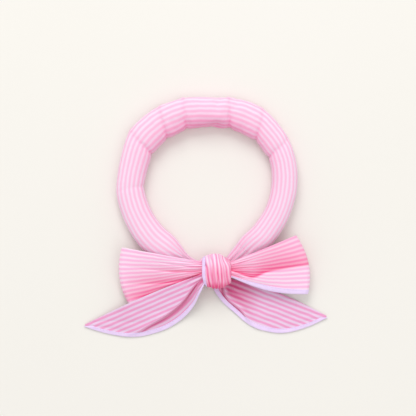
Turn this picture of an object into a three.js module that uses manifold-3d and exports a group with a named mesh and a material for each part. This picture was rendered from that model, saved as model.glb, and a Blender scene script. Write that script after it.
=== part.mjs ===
// Padded tie headband with its bow tied, lying flat on its back. Millimetres, +Z up.
// The origin is on the rest plane under the centre of the knot, +Y runs to the crown of the band.
import * as THREE from 'three';
import { mergeVertices } from 'three/addons/utils/BufferGeometryUtils.js';
import Module from 'manifold-3d';

const wasm = await Module();
wasm.setup();

// Driving sizes
const clearance = 0.3; // between neighbouring pieces
const nestedClearance = 0.5; // round a piece that lies inside a curved skin
const ringRadius = 100; // mean radius of the band's centreline
const ringShift = -9.75; // the ring hangs a little to one side of the knot
const ringDrop = 9.5; // from the knot's centre to the lowest point of the ring circle
const tubeWidth = 37; // padded tube, across, in the plane of the ring
const tubeHeight = 24; // padded tube, off the table
const neckHeight = 8.7; // the unpadded tie where it runs into the knot
const coverThickness = 1;
const seamWidth = 6; // turned-in allowance of the tube's long seam
const seamThickness = 1.2;
const endSeamThickness = 1.5;
const neckLength = 30;
const taperLength = 30; // from the padded tube's ends to its full height
const halfKnotLength = 30;
const knotLength = 37.8; // along X, edge to edge of the wrap
const knotWidth = 45; // along Y
const knotHeight = 21.6;
const wrapThickness = 2.2;
const plyThickness = 1; // one doubled layer of a loop or tail
const rootThickness = 2.6; // the same layer gathered at the knot
const bindingWidth = 5.6; // lilac binding along one long edge of the tie
const bindingThickness = 1;
const loopRootWidth = 20;
const rootOpening = 0.6; // between the two plies of a loop at the knot
const loopFold = 8; // outside height of a loop at its far fold
const loopRest = 6.5; // height of the left loop's lower edge, which hangs nearly to the table
const loopBulge = 9; // how far a loop's end bows out past its corners
const tailWidth = 48;
const tailRootWidth = 19.68; // where the knot holds it
const tongueRadius = 9; // rounded root of the right tail, which lies under the knot
const tongueThickness = 4.4;

const loops = {
  left: { side: -1, length: 98.4, endWidth: 80, tilt: 6.1, endTilt: 8, rootY: 2 },
  right: { side: 1, length: 92, endWidth: 78.3, tilt: 4, endTilt: 11.5, rootY: 2 },
};
const tails = {
  left: { side: -1, length: 168, tilt: 23.6, foldBow: 3.5 },
  right: { side: 1, length: 141.4, tilt: 21, foldBow: 6 },
};
const tailEdgeGap = 0.01125; // between the cloth and its binding, as a share of tailWidth
const leftTailSetback = 0.2; // of the left tail's root from the knot, at its free edge
const rightTailTuck = 10.8; // how far the right tail's free edge starts further under the knot

// Hand-formed ring: [angle from +X, offset from ringRadius, offset from tubeWidth]
const ringStations = [
  [-40, -6, -4], [-20, -5, -5], [0, -2, -4], [20, 2, -4], [40, 4, 0], [60, 3, 4], [80, -1, 3],
  [100, 0, 3], [120, 2, 5], [140, 5, 5], [160, 4, 1], [180, 3, -1], [200, 0, 0], [220, -1, 2],
];

const coverSleeves = 15; // the cover is made in short sleeves that butt together round the ring
const bandRings = 45;
const tubeSides = 16;
const knotFacets = 28;
const loopRings = 32;
const tailRings = 24;
const sheetFacets = 6; // across a loop or tail
const squareness = 2.4; // 2 is an ellipse, more is fuller at the corners

const { lerp, smoothstep, degToRad } = THREE.MathUtils;
const at = (x, y, z = 0) => new THREE.Vector3(x, y, z);
const steps = (count, make) => Array.from({ length: count + 1 }, (_, i) => make(i / count));
const signedPower = (x, p) => Math.sign(x) * Math.abs(x) ** p;

// Smooth curve through [position, value] stations, read at x
function profile(stations, x) {
  const last = stations.length - 1;
  let i = 0;
  while (i < last - 1 && x > stations[i + 1][0]) i += 1;
  const [x0, y0] = stations[Math.max(i - 1, 0)];
  const [x1, y1] = stations[i];
  const [x2, y2] = stations[i + 1];
  const [x3, y3] = stations[Math.min(i + 2, last)];
  const span = x2 - x1;
  const t = THREE.MathUtils.clamp((x - x1) / span, 0, 1);
  const slope1 = (y2 - y0) / (x2 - x0) * span;
  const slope2 = (y3 - y1) / (x3 - x1) * span;
  const a = 2 * y1 - 2 * y2 + slope1 + slope2;
  const b = -3 * y1 + 3 * y2 - 2 * slope1 - slope2;
  return ((a * t + b) * t + slope1) * t + y1;
}

// Skin over a row of rings of points. Looped, the last ring joins the first; otherwise both ends are capped.
// A ring has an even number of points, and point i faces point n - 1 - i, so a cap is a ladder.
function loft(rings, looped = false) {
  const n = rings[0].length;
  const positions = rings.flat().flatMap((p) => [p.x, p.y, p.z]);
  const index = [];
  const quad = (a, b, c, d) => index.push(a, b, c, a, c, d);
  const spans = looped ? rings.length : rings.length - 1;
  for (let r = 0; r < spans; r += 1) {
    const here = r * n;
    const next = ((r + 1) % rings.length) * n;
    for (let i = 0; i < n; i += 1) {
      const j = (i + 1) % n;
      quad(here + i, here + j, next + j, next + i);
    }
  }
  if (!looped) {
    const end = (rings.length - 1) * n;
    for (let i = 0; i < n / 2 - 1; i += 1) {
      quad(i + 1, i, n - 1 - i, n - 2 - i);
      quad(end + i, end + i + 1, end + n - 2 - i, end + n - 1 - i);
    }
  }
  const geometry = new THREE.BufferGeometry();
  geometry.setAttribute('position', new THREE.Float32BufferAttribute(positions, 3));
  geometry.setIndex(index);
  return facingOut(geometry);
}

// Turns every triangle over if the skin was wound inside out
function facingOut(geometry) {
  const position = geometry.getAttribute('position');
  const index = geometry.getIndex();
  const [a, b, c] = [at(0, 0), at(0, 0), at(0, 0)];
  let volume = 0;
  for (let i = 0; i < index.count; i += 3) {
    a.fromBufferAttribute(position, index.getX(i));
    b.fromBufferAttribute(position, index.getX(i + 1));
    c.fromBufferAttribute(position, index.getX(i + 2));
    volume += a.dot(b.cross(c));
  }
  if (volume < 0) geometry.setIndex(Array.from(index.array).reverse());
  geometry.computeVertexNormals();
  return geometry;
}

function toSolid(geometry) {
  const vertProperties = new Float32Array(geometry.getAttribute('position').array);
  const triVerts = new Uint32Array(geometry.getIndex().array);
  return new wasm.Manifold(new wasm.Mesh({ numProp: 3, vertProperties, triVerts }));
}

function toGeometry(solid) {
  const { vertProperties, triVerts } = solid.getMesh();
  const geometry = new THREE.BufferGeometry();
  geometry.setAttribute('position', new THREE.BufferAttribute(new Float32Array(vertProperties), 3));
  geometry.setIndex(new THREE.BufferAttribute(new Uint32Array(triVerts), 1));
  geometry.computeVertexNormals();
  return geometry;
}

const fabric = (color) => new THREE.MeshStandardMaterial({ color, roughness: 0.85, metalness: 0 });
const stripedCotton = fabric('#f7b9d8');
const bowCotton = fabric('#f99fc4');
const lilacBinding = fabric('#e9dcf7');
const wadding = fabric('#f4f1ea');
const headband = new THREE.Group();

function addPiece(name, geometry, material) {
  const mesh = new THREE.Mesh(geometry, material);
  mesh.name = name;
  headband.add(mesh);
}

// Centreline of the whole ring, closed through the knot, with the width at each station
const ringCentre = at(ringShift, ringRadius + ringDrop);
const stations = [
  [0, 1, 24],
  [knotLength / 2 - 3, 6, 21],
  [31, 18, 28],
  [46, 33.5, tubeWidth - 4],
  ...ringStations.map(([angle, outward, wider]) => {
    const radius = ringRadius + outward;
    const turn = degToRad(angle);
    const [x, y] = [ringCentre.x + radius * Math.cos(turn), ringCentre.y + radius * Math.sin(turn)];
    return [x, y, tubeWidth + wider];
  }),
  [-62, 27, tubeWidth + 1],
  [-39, 13.5, 30],
  [3 - knotLength / 2, 5.5, 22],
];
const closedCurve = (points) => new THREE.CatmullRomCurve3(points, true, 'catmullrom', 0.5);
const centreline = closedCurve(stations.map(([x, y]) => at(x, y)));
const widths = closedCurve(stations.map(([, , width]) => at(0, width)));
centreline.arcLengthDivisions = 800;
const ringLength = centreline.getLength();

// Where along the ring each stretch begins and ends, counted from the knot's centre
const neckStart = halfKnotLength / 2 + clearance;
const neckEnd = neckStart + neckLength;
const endSeamStart = neckEnd + clearance;
const coverStart = endSeamStart + endSeamThickness + clearance;
const taperEnd = coverStart + taperLength;

// One oval section of the tube, flat underneath, at a distance along the ring. Raised, its floor is higher.
function tubeSection(distance, inset = 0, raised = 0) {
  const share = ((distance / ringLength) % 1 + 1) % 1;
  const t = centreline.getUtoTmapping(share);
  const centre = centreline.getPoint(t);
  const along = centreline.getTangent(t);
  const fromKnot = Math.min(share, 1 - share) * ringLength;
  const height = lerp(neckHeight, tubeHeight, smoothstep(fromKnot, neckStart, taperEnd)) - 2 * inset;
  const width = widths.getPoint(t).y - 2 * inset;
  const tallest = Math.cos(Math.PI / tubeSides) ** (2 / squareness);
  return steps(tubeSides - 1, (q) => {
    const angle = 2 * Math.PI * (q * (tubeSides - 1) + 0.5) / tubeSides;
    const across = width / 2 * signedPower(Math.cos(angle), 2 / squareness);
    const up = height / 2 * (1 + signedPower(Math.sin(angle), 2 / squareness) / tallest);
    return at(centre.x - along.y * across, centre.y + along.x * across, inset + Math.max(up, raised));
  });
}

function stretchOfTube(from, to, count, inset, raised) {
  return steps(count, (q) => tubeSection(lerp(from, to, q), inset, raised));
}

function addBand() {
  const sleeveReach = (ringLength - 2 * coverStart + clearance) / coverSleeves;
  const ringsPerSleeve = Math.ceil(bandRings / coverSleeves);
  for (let sleeve = 0; sleeve < coverSleeves; sleeve += 1) {
    const from = coverStart + sleeve * sleeveReach;
    const to = from + sleeveReach - clearance;
    const outside = stretchOfTube(from, to, ringsPerSleeve);
    const inside = stretchOfTube(from, to, ringsPerSleeve, coverThickness);
    addPiece(`cover_sleeve_${sleeve + 1}`, loft([...outside, ...inside.reverse()], true), stripedCotton);
  }

  const coreInset = coverThickness + nestedClearance;
  const coreRaised = seamThickness + clearance;
  const core = stretchOfTube(coverStart, ringLength - coverStart, bandRings, coreInset, coreRaised);
  addPiece('band_padding', loft(core), wadding);

  const seamFloor = coverThickness + clearance;
  const seam = steps(bandRings, (q) => {
    const distance = lerp(coverStart, ringLength - coverStart, q);
    return stripSection(distance, seamWidth, seamFloor, seamFloor + seamThickness);
  });
  addPiece('cover_seam', loft(seam), stripedCotton);

  const ends = { right: (distance) => distance, left: (distance) => ringLength - distance };
  for (const [name, place] of Object.entries(ends)) {
    const neck = steps(7, (q) => tubeSection(place(lerp(neckStart, neckEnd, q))));
    addPiece(`tie_neck_${name}`, loft(neck), bowCotton);
    const endSeam = steps(1, (q) => tubeSection(place(endSeamStart + endSeamThickness * q), coverThickness));
    addPiece(`end_seam_${name}`, loft(endSeam), stripedCotton);
  }
}

// A narrow flat strip on the ring's centreline
function stripSection(distance, width, bottom, top) {
  const t = centreline.getUtoTmapping(distance / ringLength);
  const centre = centreline.getPoint(t);
  const along = centreline.getTangent(t);
  const corner = (across, z) => at(centre.x - along.y * across, centre.y + along.x * across, z);
  const half = width / 2;
  return [corner(-half, bottom), corner(half, bottom), corner(half, top), corner(-half, top)];
}

// The knot: a first half knot on the table, and above it the wrap round the gathered waist of the bow
const wrapCentreZ = neckHeight + 2 * clearance + knotHeight / 2;
const barrelTaper = 0.3; // how much smaller the knot is at its open ends
const tonguePivot = at(7, -15);
const tongueFloor = 0.8;

function addHalfKnot() {
  const lump = toSolid(loft(steps(8, (q) => tubeSection(lerp(-halfKnotLength / 2, halfKnotLength / 2, q)))));
  const bite = new THREE.CylinderGeometry(tongueRadius + clearance, tongueRadius + clearance, 60, 24);
  bite.rotateX(Math.PI / 2);
  bite.translate(tonguePivot.x, tonguePivot.y, 0);
  addPiece('half_knot', toGeometry(lump.subtract(toSolid(welded(bite)))), bowCotton);
}

function welded(geometry) {
  geometry.deleteAttribute('normal');
  geometry.deleteAttribute('uv');
  return mergeVertices(geometry);
}

// Half sizes of the knot at x, drawn in towards its two open ends
function knotHalfSizes(x, inset) {
  const barrel = 1 - barrelTaper * Math.abs(2 * x / knotLength) ** 3;
  return { y: knotWidth / 2 * barrel - inset, z: knotHeight / 2 * barrel - inset };
}

function knotPoint(x, angle, inset) {
  const half = knotHalfSizes(x, inset);
  const y = half.y * signedPower(Math.cos(angle), 2 / squareness);
  return at(x, y, wrapCentreZ + half.z * signedPower(Math.sin(angle), 2 / squareness));
}

// The angles round the knot of its facets' corners, from the upper edge of the bow over the front
const knotAngle = (facet) => 2 * Math.PI * (facet + 0.5) / knotFacets;
const knotAngles = (from, to) => steps(to - from, (q) => knotAngle(lerp(from, to, q)));

function addKnot() {
  const acrossSteps = 10;
  const wrapRing = (angle) => {
    const outer = steps(acrossSteps, (q) => knotPoint(lerp(-0.5, 0.5, q) * knotLength, angle, 0));
    const inner = steps(acrossSteps, (q) => knotPoint(lerp(0.5, -0.5, q) * knotLength, angle, wrapThickness));
    return [...outer, ...inner];
  };
  addPiece('knot_wrap', loft(knotAngles(0, knotFacets - 1).map(wrapRing), true), bowCotton);

  const waistHalf = knotLength / 2 + clearance / 2;
  const waist = steps(8, (q) => {
    const x = lerp(-waistHalf, waistHalf, q);
    return knotAngles(0, knotFacets - 1).map((angle) => knotPoint(x, angle, wrapThickness + nestedClearance));
  });
  addPiece('bow_waist', loft(waist), bowCotton);

  const bindingFrom = 1 - knotLength / 2;
  const binding = knotAngles(-1, knotFacets / 2).map((angle) => {
    const x = (p) => bindingFrom + bindingWidth * p;
    const under = steps(2, (p) => knotPoint(x(p), angle, -clearance));
    const over = steps(2, (p) => knotPoint(x(1 - p), angle, -clearance - bindingThickness));
    return [...under, ...over];
  });
  addPiece('knot_binding', loft(binding), lilacBinding);
}

// Loops: a strip folded back on itself at the far end. Shares: u runs from the knot to the fold, v from the
// lower edge to the upper one. The hairpin s runs out along the front ply and home along the back ply.
const rootX = knotLength / 2 + clearance / 2 + clearance;

// Heights of each sheet's middle along its two edges, at [share of its length, height] stations
const leftRoot = wrapCentreZ - 1.1;
const overBand = tubeHeight + loopFold / 2;
const farCorner = overBand - 6;
const loopHeights = {
  left: {
    low: [[0, leftRoot], [0.3, 12.5], [0.55, loopRest + 1], [1, loopRest]],
    high: [[0, leftRoot], [0.3, overBand - 3.5], [0.5, overBand], [0.8, overBand - 0.5], [1, farCorner]],
  },
  right: {
    low: [[0, wrapCentreZ], [0.3, 15], [0.6, 12], [1, 11]],
    high: [[0, wrapCentreZ], [0.3, overBand - 1.5], [0.6, overBand], [0.8, overBand - 1.5], [1, farCorner]],
  },
};
const overLoop = loopRest + loopFold / 2 + plyThickness + 1.3;
const leftTailRoot = wrapCentreZ + 3.5;
const tailRest = 1.2;
const tailHeights = {
  left: {
    fold: [
      [0, leftTailRoot], [0.2, overLoop + 4.7], [0.4, overLoop + 1.2], [0.62, overLoop],
      [0.8, 5], [1, tailRest],
    ],
    free: [[0, leftTailRoot], [0.12, 12], [0.25, 4], [0.4, tailRest], [1, tailRest]],
  },
  right: {
    fold: [[0, 3], [0.3, 3.4], [0.6, 2.4], [1, tailRest]],
    free: [[0, 3], [0.2, 1.8], [0.4, tailRest], [1, tailRest]],
  },
};

function loopPlace(loop, u, v) {
  const { side, length, endWidth, tilt, endTilt, rootY } = loop;
  const root = at(side * rootX, rootY + (v - 0.5) * loopRootWidth);
  const lean = degToRad(tilt);
  const endLean = degToRad(endTilt);
  const reach = side * (length + loopBulge * (1 - (2 * v - 1) ** 2) * u);
  const acrossEnd = (v - 0.5) * endWidth;
  const end = at(
    side * rootX + reach * Math.cos(lean) - acrossEnd * Math.sin(endLean),
    rootY + reach * Math.sin(lean) + acrossEnd * Math.cos(endLean),
  );
  return root.lerp(end, u);
}

function loopPoint(name, s, v, offset) {
  const loop = loops[name];
  const heights = loopHeights[name];
  const radius = loopFold / 2;
  const foldStart = 1 - radius / loop.length;
  const outward = 0.42; // share of the hairpin on each ply, the rest is the fold
  const rootHalf = (rootOpening + plyThickness) / 2;
  const gapHalf = (u) => lerp(rootHalf, radius - plyThickness / 2, smoothstep(u, 0.1, 0.9));
  let u;
  let lift;
  if (s < outward) {
    u = foldStart * s / outward;
    lift = gapHalf(u) + offset;
  } else if (s > 1 - outward) {
    u = foldStart * (1 - s) / outward;
    lift = -gapHalf(u) - offset;
  } else {
    const turn = Math.PI * (s - outward) / (1 - 2 * outward);
    const middle = gapHalf(foldStart);
    u = foldStart + (middle + offset) * Math.sin(turn) / loop.length;
    lift = (middle + offset) * Math.cos(turn);
  }
  const place = loopPlace(loop, u, v);
  return place.setZ(lerp(profile(heights.low, u), profile(heights.high, u), v) + lift);
}

// A ply between two shares v across the hairpin, as a closed strip section at s
function loopSection(name, s, from, to, thickness, count) {
  const outer = steps(count, (p) => loopPoint(name, s, lerp(from(s), to(s), p), thickness / 2));
  const inner = steps(count, (p) => loopPoint(name, s, lerp(to(s), from(s), p), -thickness / 2));
  return [...outer, ...inner];
}

function addLoop(name) {
  const loop = loops[name];
  const widthAt = (s) => lerp(loopRootWidth, loop.endWidth, 1 - Math.abs(2 * s - 1));
  const bindingEdge = (s) => bindingWidth / widthAt(s);
  const clothEdge = (s) => (bindingWidth + clearance) / widthAt(s);
  const cloth = steps(loopRings, (s) => loopSection(name, s, clothEdge, () => 1, plyThickness, sheetFacets));
  const binding = steps(loopRings, (s) => loopSection(name, s, () => 0, bindingEdge, bindingThickness, 1));
  addPiece(`loop_${name}`, loft(cloth), bowCotton);
  addPiece(`loop_binding_${name}`, loft(binding), lilacBinding);
}

// Tails: a half leaf, straight along its fold and curved along its bound free edge.
// Shares: q runs from the knot to the tip, v from the fold to the free edge.
const leafOutline = [
  [0, tailRootWidth / tailWidth], [0.1, 0.655], [0.2, 0.81], [0.3, 0.93], [0.42, 0.99],
  [0.55, 0.95], [0.65, 0.87], [0.75, 0.71], [0.88, 0.4], [1, 0.03],
];
const tailWidthAt = (q) => tailWidth * profile(leafOutline, q);

// How much later the free edge starts than the fold: the left root is cut parallel to the knot's side
const rootSlants = {
  left: tailRootWidth * Math.tan(degToRad(tails.left.tilt)) + leftTailSetback,
  right: -rightTailTuck,
};
const tailStart = { left: at(-rootX, -4), right: at(tonguePivot.x + 6, tonguePivot.y + 5.8) };

function tailPoint(name, q, v, offset) {
  const tail = tails[name];
  const heights = tailHeights[name];
  const lean = degToRad(tail.tilt);
  const across = lerp(-4 * tail.foldBow * q * (1 - q), tailWidthAt(q), v);
  const along = q * tail.length + v * rootSlants[name] * (1 - smoothstep(q, 0, 0.25));
  const start = tailStart[name];
  return at(
    start.x + tail.side * (along * Math.cos(lean) - across * Math.sin(lean)),
    start.y - along * Math.sin(lean) - across * Math.cos(lean),
    lerp(profile(heights.fold, q), profile(heights.free, q), v) + offset,
  );
}

function tailSection(name, q, from, to, thickness, count) {
  const outer = steps(count, (p) => tailPoint(name, q, lerp(from, to, p), thickness / 2));
  const inner = steps(count, (p) => tailPoint(name, q, lerp(to, from, p), -thickness / 2));
  return [...outer, ...inner];
}

// The right tail's root is a round tongue held under the knot, on which the tail swings
function withTongue(sheet, roomForBinding) {
  const tongue = new THREE.CylinderGeometry(tongueRadius, tongueRadius, tongueThickness, 24);
  tongue.rotateX(Math.PI / 2);
  tongue.translate(tonguePivot.x, tonguePivot.y, tongueFloor + tongueThickness / 2);
  return toGeometry(toSolid(welded(tongue)).subtract(toSolid(roomForBinding)).add(toSolid(sheet)));
}

function addTail(name) {
  const thicknessAt = (q) => lerp(rootThickness, plyThickness, smoothstep(q, 0.03, 0.2));
  const bindingShare = (q) => Math.min(bindingWidth / tailWidthAt(q), 0.55);
  const gapShare = (q) => tailEdgeGap * tailWidth / tailWidthAt(q);
  const cloth = steps(tailRings, (q) => {
    const reach = q * 0.985;
    const edge = 1 - bindingShare(reach) - gapShare(reach);
    return tailSection(name, reach, 0, edge, thicknessAt(reach), sheetFacets);
  });
  const binding = steps(tailRings, (q) => tailSection(name, q, 1 - bindingShare(q), 1, bindingThickness, 1));
  const sheet = loft(cloth);
  const room = loft(steps(tailRings, (q) => {
    const reach = lerp(-0.004, 1, q);
    return tailSection(name, reach, 1 - bindingShare(reach) - gapShare(reach), 1.5, 4 * tongueThickness, 1);
  }));
  addPiece(`tail_${name}`, name === 'right' ? withTongue(sheet, room) : sheet, bowCotton);
  addPiece(`tail_binding_${name}`, loft(binding), lilacBinding);
}

addBand();
addHalfKnot();
addKnot();
for (const side of ['left', 'right']) {
  addLoop(side);
  addTail(side);
}

export default headband;
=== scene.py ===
import math
import bmesh
import bpy
import numpy as np
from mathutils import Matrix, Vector


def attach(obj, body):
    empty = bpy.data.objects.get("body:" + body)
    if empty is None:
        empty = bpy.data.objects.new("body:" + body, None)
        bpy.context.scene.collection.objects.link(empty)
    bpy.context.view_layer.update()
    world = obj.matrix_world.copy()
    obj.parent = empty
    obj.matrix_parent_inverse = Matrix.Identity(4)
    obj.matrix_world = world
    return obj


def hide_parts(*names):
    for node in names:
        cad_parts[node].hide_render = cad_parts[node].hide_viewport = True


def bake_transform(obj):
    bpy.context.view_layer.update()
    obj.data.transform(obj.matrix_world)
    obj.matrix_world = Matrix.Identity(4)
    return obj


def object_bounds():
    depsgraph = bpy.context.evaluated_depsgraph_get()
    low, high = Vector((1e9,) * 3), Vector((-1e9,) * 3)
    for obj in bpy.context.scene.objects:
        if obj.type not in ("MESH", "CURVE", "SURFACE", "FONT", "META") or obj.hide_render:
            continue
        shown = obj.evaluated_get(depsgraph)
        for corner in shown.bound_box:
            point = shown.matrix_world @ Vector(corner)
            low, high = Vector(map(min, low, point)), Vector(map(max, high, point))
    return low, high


# Padded tie headband in striped cotton, lying on a table with its bow to the front.
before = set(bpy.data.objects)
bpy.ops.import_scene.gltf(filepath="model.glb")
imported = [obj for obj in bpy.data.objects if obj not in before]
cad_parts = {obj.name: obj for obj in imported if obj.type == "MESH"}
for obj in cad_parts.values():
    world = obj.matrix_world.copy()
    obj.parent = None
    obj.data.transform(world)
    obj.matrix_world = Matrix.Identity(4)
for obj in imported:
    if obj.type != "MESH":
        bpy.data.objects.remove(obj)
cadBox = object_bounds()
mm = 0.001
scene = bpy.context.scene

# A long lens straight above, a little past the middle of the headband
cameraSetup = {"lens": 200, "sensor": 36, "fieldWidth": 0.5408, "pastMiddle": (0.0031, 0.011)}


def addCamera(c):
    middle = (cadBox[0] + cadBox[1]) / 2
    data = bpy.data.cameras.new("overheadCamera")
    data.lens, data.sensor_width = c["lens"], c["sensor"]
    camera = bpy.data.objects.new("overheadCamera", data)
    scene.collection.objects.link(camera)
    height = c["fieldWidth"] * c["lens"] / c["sensor"]
    camera.location = (middle.x + c["pastMiddle"][0], middle.y + c["pastMiddle"][1], height + 0.012)
    scene.camera = camera


addCamera(cameraSetup)
print("camera placed")


# Numbers and shapes shared by all the pieces
def lerp(a, b, t):
    return a + (b - a) * t


def smoothStep(x, low, high):
    t = np.clip((x - low) / (high - low), 0, 1)
    return t * t * (3 - 2 * t)


def bell(x, width):
    return np.exp(-(x / width) ** 2)


def signedPower(x, p):
    return np.sign(x) * np.abs(x) ** p


def through(stations, x):  # smooth curve through [position, value] stations, read at x
    xs, ys = np.array(stations, float).T
    x = np.asarray(x, float)
    i = np.clip(np.searchsorted(xs, x) - 1, 0, len(xs) - 2)
    before, after = np.maximum(i - 1, 0), np.minimum(i + 2, len(xs) - 1)
    span = xs[i + 1] - xs[i]
    t = np.clip((x - xs[i]) / span, 0, 1)
    leaving = (ys[i + 1] - ys[before]) / (xs[i + 1] - xs[before]) * span
    arriving = (ys[after] - ys[i]) / (xs[after] - xs[i]) * span
    a = 2 * ys[i] - 2 * ys[i + 1] + leaving + arriving
    b = -3 * ys[i] + 3 * ys[i + 1] - 2 * leaving - arriving
    return ((a * t + b) * t + leaving) * t + ys[i]


def ripple(x, y, seed, octaves=3):  # smooth seeded unevenness, about -1 to 1
    rng = np.random.default_rng(seed)
    total = np.zeros(np.broadcast(x, y).shape)
    for octave in range(octaves):
        for _ in range(4):
            fx, fy = rng.normal(0, 2 ** octave, 2)
            total += np.sin(fx * x + fy * y + rng.uniform(0, 2 * math.pi)) / (2.6 * 2 ** octave)
    return total / 1.6


uvSpan = 100  # mm of flat cloth to one unit of its UV map


def roundTurns(count):  # evenly spaced angles, once round
    return np.linspace(0, 2 * math.pi, count + 1)[:-1]


def readAlong(at, measure, values):  # every column of values, at distances along a path
    return np.stack([np.interp(at, measure, column) for column in values.T], 1)


def asGrid(*parts):  # rows by columns of points, from parts that broadcast together
    return np.stack(np.broadcast_arrays(*parts), 2)


def gridMesh(name, points, flat, closedRows=False, closedCols=True, shade=None, capped=False):
    # points in mm, rows by columns; flat is where each point lies on the flat cloth, in mm
    rows, cols = points.shape[:2]
    r, c = np.meshgrid(np.arange(rows - (not closedRows)), np.arange(cols - (not closedCols)), indexing="ij")
    r, c = r.ravel(), c.ravel()
    nextR, nextC = (r + 1) % rows, (c + 1) % cols
    faces = np.stack([r * cols + c, r * cols + nextC, nextR * cols + nextC, nextR * cols + c], 1).tolist()
    corners = np.stack([flat[r, c], flat[r, c + 1], flat[r + 1, c + 1], flat[r + 1, c]], 1).reshape(-1, 2)
    if capped:
        faces += [list(range(cols))[::-1], list(range((rows - 1) * cols, rows * cols))]
        corners = np.concatenate([corners, flat[0, :cols][::-1], flat[-1, :cols]])
    mesh = bpy.data.meshes.new(name)
    mesh.from_pydata((points.reshape(-1, 3) * mm).tolist(), [], faces)
    layer = mesh.uv_layers.new(name="flatCloth")
    layer.data.foreach_set("uv", (corners / uvSpan).astype(np.float32).ravel())
    # painted shade per point, which the cloth materials mix in as a deeper colour
    attribute = mesh.attributes.new("paintedShade", "FLOAT", "POINT")
    values = np.zeros((rows, cols)) if shade is None else np.broadcast_to(shade, (rows, cols))
    attribute.data.foreach_set("value", np.clip(values, 0, 1).astype(np.float32).ravel())
    mesh.polygons.foreach_set("use_smooth", [True] * len(faces))
    tidy = bmesh.new()
    tidy.from_mesh(mesh)
    bmesh.ops.recalc_face_normals(tidy, faces=tidy.faces)
    tidy.to_mesh(mesh)
    tidy.free()
    obj = bpy.data.objects.new(name, mesh)
    scene.collection.objects.link(obj)
    return obj


def thicken(obj, thickness=0):  # gives a sheet its thickness, and any piece one subdivision
    if thickness:
        skin = obj.modifiers.new("clothThickness", "SOLIDIFY")
        skin.thickness, skin.offset, skin.use_even_offset = thickness * mm, 0, False
    soft = obj.modifiers.new("softness", "SUBSURF")
    soft.levels = soft.render_levels = 1


def tubeNormals(points):  # outward, for a tube made round the ring as the band is
    wide = np.pad(points, ((1, 1), (0, 0), (0, 0)), "edge")
    tall = np.pad(points, ((0, 0), (1, 1), (0, 0)), "wrap")
    normal = np.cross(tall[:, 2:] - tall[:, :-2], wide[2:] - wide[:-2])
    return normal / np.maximum(np.linalg.norm(normal, axis=2, keepdims=True), 1e-9)


# Materials
def linear(hexColour):  # sRGB hex to the linear values that the shader takes
    channels = [int(hexColour[i:i + 2], 16) / 255 for i in (1, 3, 5)]
    return [*(v / 12.92 if v <= 0.04045 else ((v + 0.055) / 1.055) ** 2.4 for v in channels), 1]


def addNode(tree, kind, settings=None, inputs=None, links=None):
    node = tree.nodes.new("ShaderNode" + kind)
    for key, value in (settings or {}).items():
        setattr(node, key, value)
    for key, value in (inputs or {}).items():
        node.inputs[key].default_value = value
    for key, source in (links or {}).items():
        tree.links.new(source, node.inputs[key])
    return node


def emptyMaterial(name):
    material = bpy.data.materials.new(name)
    material.use_nodes = True
    material.node_tree.nodes.clear()
    return material, material.node_tree


def mix(tree, share, first, second):  # sRGB hex colours; the first may be a node's colour
    given = {6: linear(first)} if isinstance(first, str) else {}
    links = {0: share} if given else {0: share, 6: first}
    return addNode(tree, "Mix", {"data_type": "RGBA"}, {**given, 7: linear(second)}, links).outputs[2]


def unevenness(tree, kind="TexNoise", settings=None, **inputs):  # over a whole piece, across its seams
    place = addNode(tree, "TexCoord").outputs["Object"]
    return addNode(tree, kind, settings, inputs, {"Vector": place}).outputs


def showSurface(tree, shader):
    addNode(tree, "OutputMaterial", links={"Surface": shader.outputs[0]})


clothFinish = {
    "stripePeriod": 6.1,  # mm from one pink stripe to the next
    "stripeDrift": 0.016,  # how far a stripe wanders, as a share of 100 mm
    "threadSpacing": 1.1,  # mm; coarser than real threads, which would be too fine to show
    "cottonRelief": 0.16, "bindingRelief": 0.12, "waddingRelief": 0.6,  # mm high
    "roughness": 0.82,
    "ior": 1.5,
    "sheen": 0.22,
    "sheenRoughness": 0.45,
}


def clothShader(tree, colour, height, depth):
    bump = addNode(tree, "Bump", inputs={"Strength": 0.6, "Distance": depth * mm}, links={"Height": height})
    shader = addNode(tree, "BsdfPrincipled", inputs={
        "Roughness": clothFinish["roughness"], "IOR": clothFinish["ior"],
        "Sheen Weight": clothFinish["sheen"], "Sheen Roughness": clothFinish["sheenRoughness"],
    }, links={"Base Color": colour, "Normal": bump.outputs[0]})
    showSurface(tree, shader)


def sineAcross(tree, place, spacing):  # repeats every so many mm of flat cloth
    turns = addNode(tree, "Math", {"operation": "MULTIPLY"}, {1: uvSpan * 2 * math.pi / spacing}, {0: place})
    return addNode(tree, "Math", {"operation": "SINE"}, links={0: turns.outputs[0]}).outputs[0]


def clothWeave(tree, flat, spacing):
    # Warp and weft crossing over and under: one sine each way
    warp, weft = (sineAcross(tree, flat.outputs[axis], spacing) for axis in ("X", "Y"))
    return addNode(tree, "Math", {"operation": "MULTIPLY"}, links={0: warp, 1: weft})


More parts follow.
